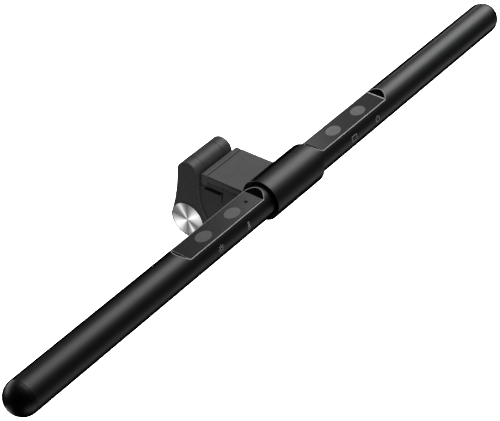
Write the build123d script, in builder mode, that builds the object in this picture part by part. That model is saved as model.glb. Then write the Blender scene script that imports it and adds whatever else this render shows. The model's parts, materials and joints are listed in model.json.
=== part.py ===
from build123d import *
from math import asin, cos, degrees, radians, sin, sqrt
import os

# Monitor light bar, in millimetres. X runs along the bar, -Y is the user's side, +Z is up.
# The origin is the middle of the rest face that stands on a monitor's top edge.

# Lamp bar
LENGTH = 450.0           # over both domes
TUBE_R = 10.0
BORE_R = 8.6
CAP_DEPTH = 9.2          # from the seam to the tip of a domed cap
TUBE_Y = -38.0           # tube axis, in front of the monitor
TUBE_Z = 12.0
AIM = 10.0               # degrees that the light window leans to the user

# Touch panels, as heights above the tube axis and distances from the middle
FLAT = 7.5
PANEL_IN = 28.4
PANEL_OUT = 92.3
PANEL_THICK = 0.8
PANEL_HALF_W = 6.0
RAMP = 4.2               # run of the sloped recess ends
PAD_X = (48.0, 73.2)
PAD_HALF_L = 5.5         # the touch fields are ovals along the bar
PAD_HALF_W = 3.85
PAD_THICK = 0.25
ELECTRODE_R = 3.4
ELECTRODE_THICK = 0.3
POST_R = 0.8
SENSOR_X = -35.6
SENSOR_R = 1.1
SENSOR_GAP = 0.05
SENSOR_SUNK = 0.1
BOARD_Z = 4.8            # underside of the touch boards
BOARD_W = 12.4
BOARD_THICK = 0.8
BOARD_END_GAP = 2.0
END_BLOCK = 6.0          # length of the panel under each sloped end

# Light window
WINDOW_IN = 27.0
WINDOW_OUT = 209.0
WINDOW_W = 10.6
LED_PITCH = 6.5
LED_ROWS_APART = 3.6
LED_L = 2.8
LED_W = 2.2
LED_THICK = 0.7
TROUGH_NARROW = 3.6      # half width of the light trough at the LEDs
TROUGH_WIDE = 4.6        # and at its mouth
TROUGH_WALL = 0.5
TROUGH_TOP = 5.5
RAIL_X = 7.9             # rails inside the tube
RAIL_Y = 1.8
RAIL_W = 2.0
RAIL_H = 1.2
RAIL_PLAY = 0.2
STRIP_W = 15.0
STRIP_THICK = 1.0
LENS_SUNK = 0.2          # below the tube's round
LENS_LIP = 0.8           # how far the lens reaches behind the window's edges
LENS_LIP_THICK = 0.85
SPIGOT = 5.0             # length of an end cap inside the tube
SPIGOT_WALL = 1.45
FIT = 0.05               # play between pieces that sit in each other

# Inlet
INLET_X = 40.0
INLET_Z = -0.65          # above the tube axis
INLET_W = 8.9
INLET_H = 3.1
INLET_DEPTH_OUT = 9.2    # mouth of the socket from the tube axis
INLET_PLAY = 0.15
SHELL_LENGTH = 7.4
SHELL_WALL = 0.3
SHELL_BACK = 0.8
TONGUE_W = 6.6
TONGUE_THICK = 0.7
TONGUE_SUNK = 1.0
DRIVER_LENGTH = 40.0     # power board
DRIVER_W = 15.0
DRIVER_SHIFT = 8.0       # its middle, outwards from the inlet

# Collar and its friction bushes
COLLAR_R = 12.2
COLLAR_BORE_R = 11.3
COLLAR_HALF = 22.1
COLLAR_CHAMFER = 0.35
BUSH_LENGTH = 8.0
BUSH_RECESS = 0.8
TILT = 25.0              # degrees each way
STOP_ANGLE = -42.0       # direction of the stop pin from the tube axis
STOP_R = 1.4
STOP_LENGTH = 5.6
STOP_START = BORE_R + 0.2

# Clip block
BLOCK_HALF = 16.4
BLOCK_REAR = 7.0
BLOCK_TOP = 8.0
DECK = 3.5               # top of the cast body, below the housing
LUG_HALF = 13.0          # lug of the collar, under the housing
LUG_FRONT = -30.0
LUG_REAR = -19.0
LUG_TOP = 5.5
HOUSING_TOP = 7.0
HOUSING_INSET = 0.25
HOUSING_WALL = 1.4
PLATE_REAR = 2.8         # leaves an open seam in front of the rear cap
PLATE_STEP = 0.75        # step under the plate's edges, which leaves a dark line
PLATE_STEP_DEPTH = 1.0
PLATE_CHAMFER = 0.1
REAR_CAP_Y = 3.4         # where the rear cap starts
CAP_GROOVE_Y = 5.7       # fine groove round the rear cap
CAP_GROOVE = 0.3
HOOK_DROP = 10.5         # how far the hook reaches below the rest face
HOOK_THICK = 4.0
HOOK_ROUND = 2.0         # height of the rounded lower edge
HOOK_ARC_R = 13.0        # the hook's rear face is slightly convex
HOOK_ARC_HALF = 18.0     # degrees each way
BELLY_Z = -2.0           # underside of the body between hook and collar
SCREW_R = 1.25
SCREW_GRIP = 2.3
SCREW_HEAD_R = 2.2
SCREW_HEAD_H = 1.3
CROSS_LENGTH = 2.4       # cross recess of a screw head
CROSS_WIDTH = 0.5
CROSS_DEPTH = 0.7
COLLAR_SCREW_X = 8.0
COLLAR_SCREW_Y = -22.0
BODY_SCREW_X = 11.0
BODY_SCREW_Y = -1.0
REST_PAD = 1.0           # thickness of the silicone pad that stands on the monitor
PAD = 0.5                # and of the two others
PAD_MARGIN = 1.5         # from the sides of the face that a pad lies on
PAD_ROUND = 1.2
HOOK_PAD_HALF = 14.0     # degrees of the hook's arc each way
HOOK_Y = -7.2            # crest of the pad that meets the monitor's front
HOOK_Z = -3.9            # height of the crest

# Hinge of the counterweight arm
HINGE_Y = 17.0
HINGE_Z = 3.8
KNUCKLE_R = 7.3
KNUCKLE_HALF = 8.9       # middle knuckle
KNUCKLE_GAP = 0.25
KNUCKLE_ROOM = 0.5       # free space round the middle knuckle
WEB_ROOM = -1.5          # the arm is open above this height in front of the hinge
SPRING_BORE = 4.9
PIN_R = 2.0
PIN_END = 14.9           # blind end of the pin bore on the left
PLUG_R = 3.2
PLUG_THICK = 1.0
BUSH_DEPTH = 3.0         # hinge bushes inside the middle knuckle
SPRING_R = 3.6
SPRING_TURNS = 6
WIRE_R = 0.5

# Arm, drum and jaw
ARM_HALF = 16.4
JAW_HALF = 15.5
DRUM_Y = 17.4
DRUM_Z = -28.5
DRUM_R = 12.2
DISC_R = 11.2
SLUG_R = 9.5
DISC_SEAT = 0.9
JAW_SCREW_X = 6.0
JAW_SCREW_Z = -9.5
JAW_SCREW_SEAT = 15.0
JAW_SCREW_GRIP = 15.0
JAW_SCREW_HEAD_H = 1.6
JAW_Y = -6.55
JAW_TOP = -2.5
JAW_GAP = 1.1            # between the closed jaw and the hook's pad
JAW_PAD_H = 5.6
JAW_PAD_Z = -10.9
DISC_PROUD = 0.3
EDGE = 0.3               # chamfer of the cast and turned edges

TUBE_HALF = LENGTH / 2 - CAP_DEPTH

os.makedirs("parts", exist_ok=True)


def save(piece, name):
    piece.part.label = name
    export_step(piece.part, f"parts/{name}.step")


def section(x):
    """Cross-section plane on the tube axis: local x is +Y and local y is +Z."""
    return Plane(origin=(x, TUBE_Y, TUBE_Z), x_dir=(0, 1, 0), z_dir=(1, 0, 0))


def window(x):
    """Cross-section plane whose local y points out of the light window."""
    lean = radians(AIM)
    return Plane(origin=(x, TUBE_Y, TUBE_Z), x_dir=(0, -cos(lean), sin(lean)), z_dir=(1, 0, 0))


def side(x):
    """Side plane of the clip: local x is +Y and local y is +Z."""
    return Plane.YZ.offset(x)


def front():
    """Lengthwise plane through the tube axis: local x is +X and local y is +Z."""
    return Plane(origin=(0, TUBE_Y, TUBE_Z), x_dir=(1, 0, 0), z_dir=(0, -1, 0))


def above_tube(height):
    """Level plane at a height above the tube axis."""
    return Plane.XY.offset(TUBE_Z + height).move(Location((0, TUBE_Y, 0)))


def behind(y, z):
    """Upright plane that faces +Y: local x is -X and local y is +Z."""
    return Plane(origin=(0, y, z), x_dir=(-1, 0, 0), z_dir=(0, 1, 0))


def on_hook(radius, angle):
    """Point round the centre of the hook's convex face, at an angle above the crest."""
    turn = radians(angle)
    centre_y = HOOK_Y - PAD - HOOK_ARC_R
    return (centre_y + radius * cos(turn), HOOK_Z + radius * sin(turn))


def low_end(hand, near, far):
    """Lower x of a stretch between two distances from the middle, on one hand of the bar."""
    return near if hand > 0 else -far


def screw_places(x, y):
    return [(-x, y), (x, y)]


def recess(hand):
    """Outline of the sloped recess of one touch panel, seen from the front."""
    over = TUBE_R + 1.0
    run = RAMP * (over - FLAT) / (TUBE_R - FLAT)
    points = [
        (hand * (PANEL_IN - run), over),
        (hand * PANEL_IN, FLAT),
        (hand * PANEL_OUT, FLAT),
        (hand * (PANEL_OUT + run), over),
    ]
    return Polygon(*points, align=None)


def stop_axis(radius):
    """Plane across the stop pin's axis, at a distance from the tube axis."""
    turn = radians(STOP_ANGLE)
    outward = (0, cos(turn), sin(turn))
    centre = (0, TUBE_Y + radius * outward[1], TUBE_Z + radius * outward[2])
    return Plane(origin=centre, x_dir=(1, 0, 0), z_dir=outward)


HANDS = {"left": -1, "right": 1}
pad_places = {hand: [(hand * x, 0) for x in PAD_X] for hand in HANDS.values()}


# ---------------------------------------------------------------- lamp bar

with BuildPart() as light_tube:
    with BuildSketch(section(-TUBE_HALF)):
        Circle(TUBE_R)
        Circle(BORE_R, mode=Mode.SUBTRACT)
    extrude(amount=2 * TUBE_HALF)
    # two rails that carry the LED boards
    with BuildSketch(window(-TUBE_HALF)):
        with Locations((-RAIL_X, RAIL_Y), (RAIL_X, RAIL_Y)):
            Rectangle(RAIL_W, RAIL_H)
    extrude(amount=2 * TUBE_HALF)
    # recesses with sloped ends, and the seats of the panel plates
    with BuildSketch(front()):
        recess(-1)
        recess(1)
    extrude(amount=TUBE_R + 1, both=True, mode=Mode.SUBTRACT)
    with BuildSketch(above_tube(FLAT - PANEL_THICK)):
        middle = (PANEL_IN + PANEL_OUT) / 2
        with Locations((-middle, 0), (middle, 0)):
            Rectangle(PANEL_OUT - PANEL_IN, 2 * PANEL_HALF_W)
    extrude(amount=TUBE_R, mode=Mode.SUBTRACT)
    # bright cut edges beside the panels
    rim = light_tube.edges().filter_by(Axis.X).filter_by_position(
        Axis.Z, TUBE_Z + FLAT - 0.01, TUBE_Z + FLAT + 0.01
    )
    outer_rim = [edge for edge in rim if abs(edge.center().Y - TUBE_Y) > PANEL_HALF_W + 0.1]
    chamfer(outer_rim, length=EDGE)
    # light windows
    for hand in HANDS.values():
        with BuildSketch(window(low_end(hand, WINDOW_IN, WINDOW_OUT))):
            with Locations((0, TUBE_R)):
                Rectangle(WINDOW_W, TUBE_R)
        extrude(amount=WINDOW_OUT - WINDOW_IN, mode=Mode.SUBTRACT)
    # inlet in the back wall
    with BuildSketch(behind(TUBE_Y + BORE_R / 2, TUBE_Z + INLET_Z)):
        with Locations((-INLET_X, 0)):
            SlotOverall(INLET_W + 2 * INLET_PLAY, INLET_H + 2 * INLET_PLAY)
    extrude(amount=TUBE_R, mode=Mode.SUBTRACT)
    # arc slot of the tilt stop
    reach = TILT + degrees(asin(STOP_R / BORE_R)) + 1.0
    slot_angles = [radians(STOP_ANGLE + reach * step / 4) for step in range(-4, 5)]
    slot_half = STOP_R + 2 * FIT
    with BuildSketch(section(-slot_half)):
        outside = 1.4 * TUBE_R
        arc = [(outside * cos(angle), outside * sin(angle)) for angle in slot_angles]
        Polygon((0, 0), *arc, align=None)
        Circle(BORE_R - 1.0, mode=Mode.SUBTRACT)
    extrude(amount=2 * slot_half, mode=Mode.SUBTRACT)
save(light_tube, "light_tube")

for name, hand in HANDS.items():
    # domed end cap with a hollow spigot, notched round the tube's rails
    with BuildPart() as end_cap:
        with BuildSketch(Plane.XY.move(Location((0, TUBE_Y, TUBE_Z)))):
            with BuildLine():
                centre = LENGTH / 2 - TUBE_R
                rim = (hand * TUBE_HALF, sqrt(TUBE_R**2 - (TUBE_HALF - centre) ** 2))
                shoulder = (hand * (centre + TUBE_R * cos(radians(45))), TUBE_R * sin(radians(45)))
                tip = (hand * LENGTH / 2, 0)
                ThreePointArc(rim, shoulder, tip)
                Polyline(tip, (hand * TUBE_HALF, 0), rim)
            make_face()
        revolve(axis=Axis((0, TUBE_Y, TUBE_Z), (1, 0, 0)))
        spigot_start = low_end(hand, TUBE_HALF - SPIGOT, TUBE_HALF)
        with BuildSketch(section(spigot_start)):
            Circle(BORE_R - FIT)
            Circle(BORE_R - FIT - SPIGOT_WALL, mode=Mode.SUBTRACT)
        extrude(amount=SPIGOT)
        with BuildSketch(window(spigot_start)):
            with Locations((-RAIL_X, RAIL_Y), (RAIL_X, RAIL_Y)):
                Rectangle(RAIL_W + 2 * RAIL_PLAY, RAIL_H + 2 * RAIL_PLAY)
        extrude(amount=SPIGOT, mode=Mode.SUBTRACT)
    save(end_cap, f"end_cap_{name}")

    # flat touch panel: a plate on the seat, filled under its sloped ends
    with BuildPart() as touch_panel:
        with BuildSketch(section(low_end(hand, PANEL_IN, PANEL_OUT))):
            Circle(TUBE_R)
            Rectangle(2 * PANEL_HALF_W, 2 * TUBE_R, mode=Mode.INTERSECT)
            with Locations((0, FLAT - PANEL_THICK / 2)):
                Rectangle(2 * TUBE_R, PANEL_THICK, mode=Mode.INTERSECT)
        extrude(amount=PANEL_OUT - PANEL_IN)
        for end in (PANEL_IN - END_BLOCK, PANEL_OUT):
            with BuildSketch(section(low_end(hand, end, end + END_BLOCK))):
                Circle(BORE_R)
                with Locations((0, FLAT - PANEL_THICK + TUBE_R / 2)):
                    Rectangle(2 * TUBE_R, TUBE_R, mode=Mode.INTERSECT)
            extrude(amount=END_BLOCK)
        with BuildSketch(front()):
            recess(hand)
        extrude(amount=TUBE_R + 1, both=True, mode=Mode.SUBTRACT)
        with BuildSketch(above_tube(FLAT - PAD_THICK)):
            with Locations(*pad_places[hand]):
                Ellipse(PAD_HALF_L, PAD_HALF_W)
        extrude(amount=1, mode=Mode.SUBTRACT)
        if hand < 0:
            with BuildSketch(above_tube(FLAT - 2)):
                with Locations((SENSOR_X, 0)):
                    Circle(SENSOR_R + SENSOR_GAP)
            extrude(amount=3, mode=Mode.SUBTRACT)
    save(touch_panel, f"touch_panel_{name}")

    # touch fields let into the panel
    with BuildPart() as touch_pads:
        with BuildSketch(above_tube(FLAT - PAD_THICK)):
            with Locations(*pad_places[hand]):
                Ellipse(PAD_HALF_L, PAD_HALF_W)
        extrude(amount=PAD_THICK)
    save(touch_pads, f"touch_pads_{name}")

    # touch circuit board and its electrodes, each a disc on a short post
    with BuildPart() as touch_board:
        with BuildSketch(above_tube(BOARD_Z)):
            with Locations((hand * (PANEL_IN + PANEL_OUT) / 2, 0)):
                Rectangle(PANEL_OUT - PANEL_IN - 2 * BOARD_END_GAP, BOARD_W)
        extrude(amount=BOARD_THICK)
    save(touch_board, f"touch_board_{name}")
    board_top = BOARD_Z + BOARD_THICK
    with BuildPart() as electrodes:
        post = FLAT - PANEL_THICK - board_top
        for radius, height in ((POST_R, post), (ELECTRODE_R, ELECTRODE_THICK)):
            with BuildSketch(above_tube(FLAT - PANEL_THICK)):
                with Locations(*pad_places[hand]):
                    Circle(radius)
            extrude(amount=-height)
    save(electrodes, f"touch_electrodes_{name}")

    # LED board on the rails, its LEDs, the light trough and the lens
    start = low_end(hand, WINDOW_IN, WINDOW_OUT)
    run = WINDOW_OUT - WINDOW_IN
    with BuildPart() as led_strip:
        with BuildSketch(window(start)):
            with Locations((0, RAIL_Y + RAIL_H / 2 + STRIP_THICK / 2)):
                Rectangle(STRIP_W, STRIP_THICK)
        extrude(amount=run)
    save(led_strip, f"led_strip_{name}")
    led_base = RAIL_Y + RAIL_H / 2 + STRIP_THICK
    led_count = int(run / LED_PITCH) - 1
    with BuildPart() as leds:
        middle = window(start + run / 2)
        seat = middle.from_local_coords((0, led_base, 0))
        with BuildSketch(Plane(origin=seat, x_dir=(1, 0, 0), z_dir=middle.y_dir)):
            with GridLocations(LED_PITCH, LED_ROWS_APART, led_count, 2):
                Rectangle(LED_L, LED_W)
        extrude(amount=LED_THICK)
    save(leds, f"leds_{name}")
    with BuildPart() as reflector:
        with BuildSketch(window(start)):
            trough = [
                (TROUGH_NARROW, led_base),
                (TROUGH_NARROW + TROUGH_WALL, led_base),
                (TROUGH_WIDE + TROUGH_WALL, TROUGH_TOP),
                (TROUGH_WIDE, TROUGH_TOP),
            ]
            Polygon(*trough, align=None)
            mirror(about=Plane.YZ)
        extrude(amount=run)
    save(reflector, f"reflector_{name}")
    with BuildPart() as diffuser:
        with BuildSketch(window(start)):
            Circle(TUBE_R - LENS_SUNK)
            Circle(BORE_R - FIT, mode=Mode.SUBTRACT)
            with Locations((0, TUBE_R)):
                Rectangle(WINDOW_W - 2 * FIT, 2 * TUBE_R, mode=Mode.INTERSECT)
        extrude(amount=run)
        with BuildSketch(window(start)):
            Circle(BORE_R - FIT)
            Circle(BORE_R - FIT - LENS_LIP_THICK, mode=Mode.SUBTRACT)
            with Locations((0, TUBE_R)):
                Rectangle(WINDOW_W + 2 * LENS_LIP, 2 * TUBE_R, mode=Mode.INTERSECT)
        extrude(amount=run)
    save(diffuser, f"diffuser_{name}")

with BuildPart() as light_sensor:
    with BuildSketch(above_tube(board_top)):
        with Locations((SENSOR_X, 0)):
            Circle(SENSOR_R)
    extrude(amount=FLAT - SENSOR_SUNK - board_top)
save(light_sensor, "light_sensor")

# power board with the inlet under it
with BuildPart() as driver_board:
    with BuildSketch(above_tube(INLET_Z + INLET_H / 2)):
        with Locations((INLET_X + DRIVER_SHIFT, 0)):
            Rectangle(DRIVER_LENGTH, DRIVER_W)
    extrude(amount=BOARD_THICK)
save(driver_board, "driver_board")

inlet_centre = (INLET_X, TUBE_Y + INLET_DEPTH_OUT, TUBE_Z + INLET_Z)
inlet_mouth = Plane(origin=inlet_centre, x_dir=(1, 0, 0), z_dir=(0, -1, 0))
with BuildPart() as usb_socket:
    with BuildSketch(inlet_mouth):
        SlotOverall(INLET_W, INLET_H)
    extrude(amount=SHELL_LENGTH)
    with BuildSketch(inlet_mouth):
        SlotOverall(INLET_W - 2 * SHELL_WALL, INLET_H - 2 * SHELL_WALL)
    extrude(amount=SHELL_LENGTH - SHELL_BACK, mode=Mode.SUBTRACT)
save(usb_socket, "usb_socket")
with BuildPart() as usb_tongue:
    with BuildSketch(inlet_mouth.offset(TONGUE_SUNK)):
        Rectangle(TONGUE_W, TONGUE_THICK)
    extrude(amount=SHELL_LENGTH - SHELL_BACK - TONGUE_SUNK)
save(usb_tongue, "usb_tongue")


# ---------------------------------------------------------------- holder

with BuildPart() as collar:
    with BuildSketch(section(-COLLAR_HALF)):
        Circle(COLLAR_R)
        Circle(COLLAR_BORE_R, mode=Mode.SUBTRACT)
    extrude(amount=2 * COLLAR_HALF)
    mouth = collar.edges().filter_by(GeomType.CIRCLE).group_by(SortBy.RADIUS)[-1]
    chamfer(mouth, length=COLLAR_CHAMFER)
    # lug that the collar screws pass through
    with BuildSketch(side(-LUG_HALF)):
        with Locations(((LUG_FRONT + LUG_REAR) / 2, (DECK + LUG_TOP) / 2)):
            Rectangle(LUG_REAR - LUG_FRONT, LUG_TOP - DECK)
        with Locations((TUBE_Y, TUBE_Z)):
            Circle(COLLAR_R - 0.2, mode=Mode.SUBTRACT)
    extrude(amount=2 * LUG_HALF)
    with BuildSketch(Plane.XY.offset(DECK)):
        with Locations(*screw_places(COLLAR_SCREW_X, COLLAR_SCREW_Y)):
            Circle(SCREW_R)
    extrude(amount=TUBE_R, mode=Mode.SUBTRACT)
    with BuildSketch(stop_axis(STOP_START)):
        Circle(STOP_R)
    extrude(amount=STOP_LENGTH, mode=Mode.SUBTRACT)
save(collar, "collar")

bush_start = COLLAR_HALF - BUSH_RECESS - BUSH_LENGTH
with BuildPart() as collar_bushes:
    for start in (-COLLAR_HALF + BUSH_RECESS, bush_start):
        with BuildSketch(section(start)):
            Circle(COLLAR_BORE_R)
            Circle(TUBE_R + FIT, mode=Mode.SUBTRACT)
        extrude(amount=BUSH_LENGTH)
save(collar_bushes, "collar_bushes")

with BuildPart() as tilt_stop_pin:
    with BuildSketch(stop_axis(STOP_START)):
        Circle(STOP_R)
    extrude(amount=STOP_LENGTH)
save(tilt_stop_pin, "tilt_stop_pin")

# cast body: deck and rest face, front hook, web and middle knuckle of the hinge
with BuildPart() as clip_body:
    with BuildSketch(side(-BLOCK_HALF)):
        with BuildLine():
            hook_top = on_hook(HOOK_ARC_R, HOOK_ARC_HALF)
            hook_foot = on_hook(HOOK_ARC_R, -HOOK_ARC_HALF)
            hook_rear = (hook_foot[0], HOOK_ROUND - HOOK_DROP)
            hook_front = (hook_foot[0] - HOOK_THICK, HOOK_ROUND / 2 - HOOK_DROP)
            Line(hook_rear, hook_foot)
            ThreePointArc(hook_foot, on_hook(HOOK_ARC_R, 0), hook_top)
            Polyline(
                hook_top,
                (hook_top[0], REST_PAD),
                (REAR_CAP_Y, REST_PAD),
                (REAR_CAP_Y, DECK),
                (TUBE_Y + COLLAR_R / 2, DECK),
                (TUBE_Y + COLLAR_R / 2 + 1, BELLY_Z + 0.5),
                (TUBE_Y + COLLAR_R, BELLY_Z),
                hook_front,
            )
            ThreePointArc(hook_front, (hook_foot[0] - HOOK_THICK / 2, -HOOK_DROP), hook_rear)
        make_face()
        with Locations((TUBE_Y, TUBE_Z)):
            Circle(COLLAR_R + FIT, mode=Mode.SUBTRACT)
    extrude(amount=2 * BLOCK_HALF)
    with BuildSketch(side(-KNUCKLE_HALF)):
        with Locations(((REAR_CAP_Y + HINGE_Y) / 2, (REST_PAD + DECK) / 2)):
            Rectangle(HINGE_Y - REAR_CAP_Y, DECK - REST_PAD - 4 * FIT)
        with Locations((HINGE_Y, HINGE_Z)):
            Circle(KNUCKLE_R)
    extrude(amount=2 * KNUCKLE_HALF)
    with BuildSketch(side(-KNUCKLE_HALF)):
        with Locations((HINGE_Y, HINGE_Z)):
            Circle(SPRING_BORE)
    extrude(amount=2 * KNUCKLE_HALF, mode=Mode.SUBTRACT)
    # tapped holes of the screws, from above
    with BuildSketch(Plane.XY.offset(DECK)):
        with Locations(*screw_places(COLLAR_SCREW_X, COLLAR_SCREW_Y)):
            Circle(SCREW_R)
        with Locations(*screw_places(BODY_SCREW_X, BODY_SCREW_Y)):
            Circle(SCREW_R)
    extrude(amount=-SCREW_GRIP, mode=Mode.SUBTRACT)
    with BuildSketch(stop_axis(STOP_START)):
        Circle(STOP_R)
    extrude(amount=STOP_LENGTH, mode=Mode.SUBTRACT)
save(clip_body, "clip_body")

# housing on the deck: a frame that runs up to the collar, with two screw bosses
with BuildPart() as block_housing:
    with BuildSketch(side(-BLOCK_HALF + HOUSING_INSET)):
        with Locations(((TUBE_Y + REAR_CAP_Y) / 2, (DECK + HOUSING_TOP) / 2)):
            Rectangle(REAR_CAP_Y - TUBE_Y, HOUSING_TOP - DECK)
        with Locations((TUBE_Y, TUBE_Z)):
            Circle(COLLAR_R + FIT, mode=Mode.SUBTRACT)
    extrude(amount=2 * (BLOCK_HALF - HOUSING_INSET))
    inside = BLOCK_HALF - HOUSING_INSET - HOUSING_WALL
    with BuildSketch(Plane.XY.offset(DECK)):
        with Locations((0, (TUBE_Y + REAR_CAP_Y) / 2 - HOUSING_WALL)):
            Rectangle(2 * inside, REAR_CAP_Y - TUBE_Y)
    extrude(amount=HOUSING_TOP, mode=Mode.SUBTRACT)
    with BuildSketch(Plane.XY.offset(DECK)):
        with Locations(*screw_places(BODY_SCREW_X, BODY_SCREW_Y)):
            Rectangle(2 * (inside - BODY_SCREW_X), 2 * (REAR_CAP_Y - HOUSING_WALL - BODY_SCREW_Y))
            Circle(SCREW_R, mode=Mode.SUBTRACT)
    extrude(amount=LUG_TOP - DECK)
save(block_housing, "block_housing")

with BuildPart() as top_plate:
    with BuildSketch(side(-BLOCK_HALF)):
        with Locations(((TUBE_Y + PLATE_REAR) / 2, (HOUSING_TOP + BLOCK_TOP) / 2)):
            Rectangle(PLATE_REAR - TUBE_Y, BLOCK_TOP - HOUSING_TOP)
        with Locations((TUBE_Y, TUBE_Z)):
            Circle(COLLAR_R + FIT, mode=Mode.SUBTRACT)
    extrude(amount=2 * BLOCK_HALF)
    with BuildSketch(Plane.XY.offset(HOUSING_TOP)):
        with Locations((0, TUBE_Y)):
            Rectangle(2 * BLOCK_HALF, 2 * (PLATE_REAR - TUBE_Y))
            narrow = BLOCK_HALF - PLATE_STEP_DEPTH
            Rectangle(2 * narrow, 2 * (PLATE_REAR - TUBE_Y), mode=Mode.SUBTRACT)
    extrude(amount=PLATE_STEP, mode=Mode.SUBTRACT)
    upper = top_plate.faces().sort_by(Axis.Z)[-1].edges().filter_by(Axis.Y)
    chamfer(upper, length=PLATE_CHAMFER)
save(top_plate, "top_plate")

with BuildPart() as rear_cap:
    with BuildSketch(side(-BLOCK_HALF)):
        with Locations(((REAR_CAP_Y + BLOCK_REAR) / 2, (REST_PAD + BLOCK_TOP) / 2)):
            Rectangle(BLOCK_REAR - REAR_CAP_Y, BLOCK_TOP - REST_PAD)
    extrude(amount=2 * BLOCK_HALF)
    chamfer(rear_cap.faces().sort_by(Axis.Y)[-1].edges(), length=EDGE)
    with BuildSketch(behind(CAP_GROOVE_Y - CAP_GROOVE / 2, 0)):
        Rectangle(4 * BLOCK_HALF, 4 * BLOCK_TOP)
        with Locations((0, 0)):
            inner_w = 2 * (BLOCK_HALF - CAP_GROOVE)
            Rectangle(inner_w, 2 * (BLOCK_TOP - CAP_GROOVE), mode=Mode.SUBTRACT)
    extrude(amount=CAP_GROOVE, mode=Mode.SUBTRACT)
    with BuildSketch(side(-KNUCKLE_HALF)):
        with Locations((BLOCK_REAR, REST_PAD)):
            Rectangle(2 * BLOCK_REAR, 2 * (DECK - REST_PAD))
    extrude(amount=2 * KNUCKLE_HALF, mode=Mode.SUBTRACT)
save(rear_cap, "rear_cap")

with BuildPart() as rest_pad:
    with BuildSketch(Plane.XY):
        RectangleRounded(2 * (BLOCK_HALF - PAD_MARGIN), BLOCK_REAR + REAR_CAP_Y, PAD_ROUND)
    extrude(amount=REST_PAD)
save(rest_pad, "rest_pad")

with BuildPart() as hook_pad:
    with BuildSketch(side(-BLOCK_HALF + PAD_MARGIN)):
        with BuildLine():
            corners = [
                on_hook(HOOK_ARC_R, -HOOK_PAD_HALF),
                on_hook(HOOK_ARC_R, HOOK_PAD_HALF),
                on_hook(HOOK_ARC_R + PAD, HOOK_PAD_HALF),
                on_hook(HOOK_ARC_R + PAD, -HOOK_PAD_HALF),
            ]
            ThreePointArc(corners[0], on_hook(HOOK_ARC_R, 0), corners[1])
            Line(corners[1], corners[2])
            ThreePointArc(corners[2], on_hook(HOOK_ARC_R + PAD, 0), corners[3])
            Line(corners[3], corners[0])
        make_face()
    extrude(amount=2 * (BLOCK_HALF - PAD_MARGIN))
save(hook_pad, "hook_pad")


def screws(name, plane, places, head_height, grip):
    """Pan-head screws with a cross recess; the plane lies under the heads, facing outward."""
    with BuildPart() as group:
        with BuildSketch(plane):
            with Locations(*places):
                Circle(SCREW_HEAD_R)
        extrude(amount=head_height)
        with BuildSketch(plane):
            with Locations(*places):
                Circle(SCREW_R)
        extrude(amount=-grip)
        with BuildSketch(plane.offset(head_height)):
            with Locations(*places):
                Rectangle(CROSS_LENGTH, CROSS_WIDTH)
                Rectangle(CROSS_WIDTH, CROSS_LENGTH)
        extrude(amount=-CROSS_DEPTH, mode=Mode.SUBTRACT)
    save(group, name)


lug_top = Plane.XY.offset(LUG_TOP)
grip = LUG_TOP - DECK + SCREW_GRIP
collar_places = screw_places(COLLAR_SCREW_X, COLLAR_SCREW_Y)
body_places = screw_places(BODY_SCREW_X, BODY_SCREW_Y)
screws("collar_screws", lug_top, collar_places, SCREW_HEAD_H, grip)
screws("body_screws", lug_top, body_places, SCREW_HEAD_H, grip)

# two flanged bushes pressed into the middle knuckle
with BuildPart() as hinge_bushes:
    for hand in HANDS.values():
        for radius, near, far in (
            (SPRING_BORE, KNUCKLE_HALF - BUSH_DEPTH, KNUCKLE_HALF),
            (KNUCKLE_R - EDGE, KNUCKLE_HALF, KNUCKLE_HALF + KNUCKLE_GAP / 2),
        ):
            with BuildSketch(side(low_end(hand, near, far))):
                with Locations((HINGE_Y, HINGE_Z)):
                    Circle(radius)
                    Circle(PIN_R + FIT, mode=Mode.SUBTRACT)
            extrude(amount=far - near)
save(hinge_bushes, "hinge_bushes")

# torsion spring round the pin
coil_half = KNUCKLE_HALF - BUSH_DEPTH - WIRE_R - 2 * FIT
with BuildPart() as hinge_spring:
    with BuildLine() as coil:
        Helix(
            pitch=2 * coil_half / SPRING_TURNS,
            height=2 * coil_half,
            radius=SPRING_R,
            center=(-coil_half, HINGE_Y, HINGE_Z),
            direction=(1, 0, 0),
        )
    start_point = coil.line @ 0
    with BuildSketch(Plane(origin=start_point, z_dir=coil.line % 0)):
        Circle(WIRE_R)
    sweep(path=coil.line, is_frenet=True)
save(hinge_spring, "hinge_spring")


# ---------------------------------------------------------------- counterweight arm

hinge_centre = (HINGE_Y, HINGE_Z)
drum_centre = (DRUM_Y, DRUM_Z)
jaw_screw_seat = behind(JAW_SCREW_SEAT, JAW_SCREW_Z)
jaw_screw_places = screw_places(JAW_SCREW_X, 0)


def arm_outline():
    """Side outline of the arm, from the hinge down round the drum."""
    knuckle_front = (HINGE_Y - KNUCKLE_R, HINGE_Z)
    knuckle_rear = (HINGE_Y + KNUCKLE_R, HINGE_Z)
    waist = (8.6, -12.0)
    chin = (4.0, -22.6)
    drum_bottom = (DRUM_Y, DRUM_Z - DRUM_R)
    drum_rear = (DRUM_Y + DRUM_R, DRUM_Z)
    with BuildLine() as outline:
        ThreePointArc(knuckle_rear, (HINGE_Y, HINGE_Z + KNUCKLE_R), knuckle_front)
        Line(knuckle_front, waist)
        ThreePointArc(waist, (6.9, -17.6), chin)
        ThreePointArc(chin, (6.2, -34.6), drum_bottom)
        ThreePointArc(
            drum_bottom,
            (DRUM_Y + DRUM_R * cos(radians(-45)), DRUM_Z + DRUM_R * sin(radians(-45))),
            drum_rear,
        )
        ThreePointArc(drum_rear, (25.5, -10.7), knuckle_rear)
    return outline.line


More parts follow.
